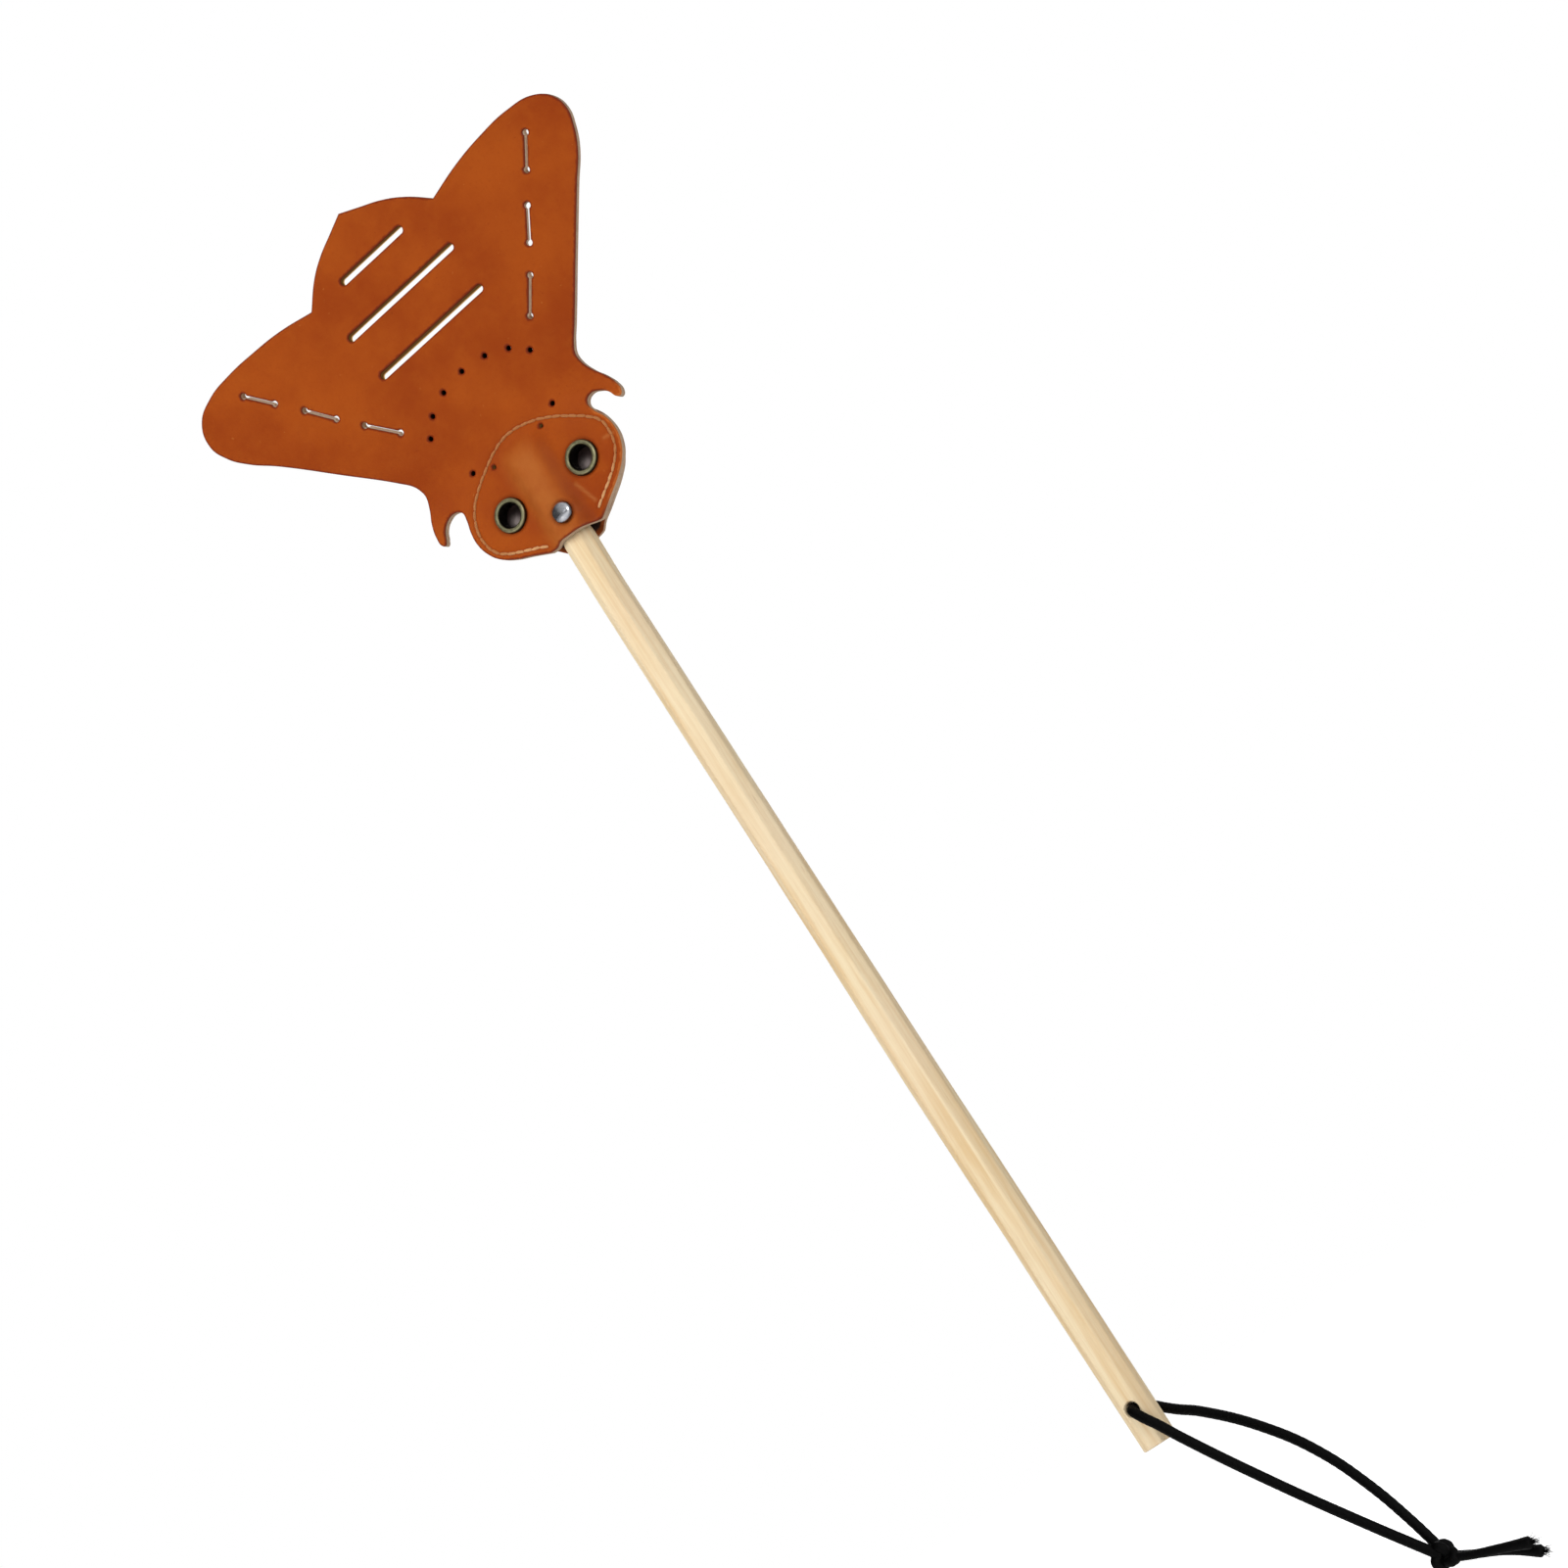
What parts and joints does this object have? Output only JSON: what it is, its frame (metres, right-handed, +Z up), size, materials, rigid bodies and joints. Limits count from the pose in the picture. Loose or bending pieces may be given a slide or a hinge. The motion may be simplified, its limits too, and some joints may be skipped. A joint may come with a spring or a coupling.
{
  "type": "fly swatter",
  "caption": "Hand fly swatter: a slotted leather blade cut like a fly, sewn as a pocket over a wooden stick, with a knotted cord loop to hang it.",
  "frame": {"origin": "centre of the stick's square lower end face", "axes": "+Z up along the stick towards the blade, +X to the right as seen from the blade's front, -Y out of the blade's front"},
  "size_m": [0.1638, 0.0306, 0.5263],
  "materials": {
    "leather": "smooth orange-brown vegetable-tanned leather",
    "suede": "raw flesh side, grey-beige nap",
    "thread": "waxed tan thread",
    "antique_brass": "antique brass, satin",
    "nickel": "polished nickel plate",
    "wood": "unfinished pale hand-shaved softwood",
    "cord": "black braided elastic"
  },
  "bodies": {
    "handle": {"wooden_handle": "wood", "leather_head_front": "leather", "leather_head_back": "suede", "needle_thread": "thread", "bobbin_thread": "thread", "eyelet_left": "antique_brass", "eyelet_right": "antique_brass", "eyelet_washer_left": "antique_brass", "eyelet_washer_right": "antique_brass", "rivet_cap": "nickel", "rivet_post": "nickel"},
    "blade": {"leather_blade": "leather"},
    "cord": {"wrist_cord": "cord"}
  },
  "joints": [
    {"name": "blade_flex", "type": "hinge", "parent": "handle", "child": "blade", "pos_m": [0, -0.00085, 0.365], "axis": [1, 0, 0], "range_deg": [-54, 26], "stiffness_Nm_per_rad": 0.45},
    {"name": "cord_swing", "type": "hinge", "parent": "handle", "child": "cord", "pos_m": [0, 0, 0.012], "axis": [0, 1, 0], "range_deg": [-85, 155]}
  ]
}
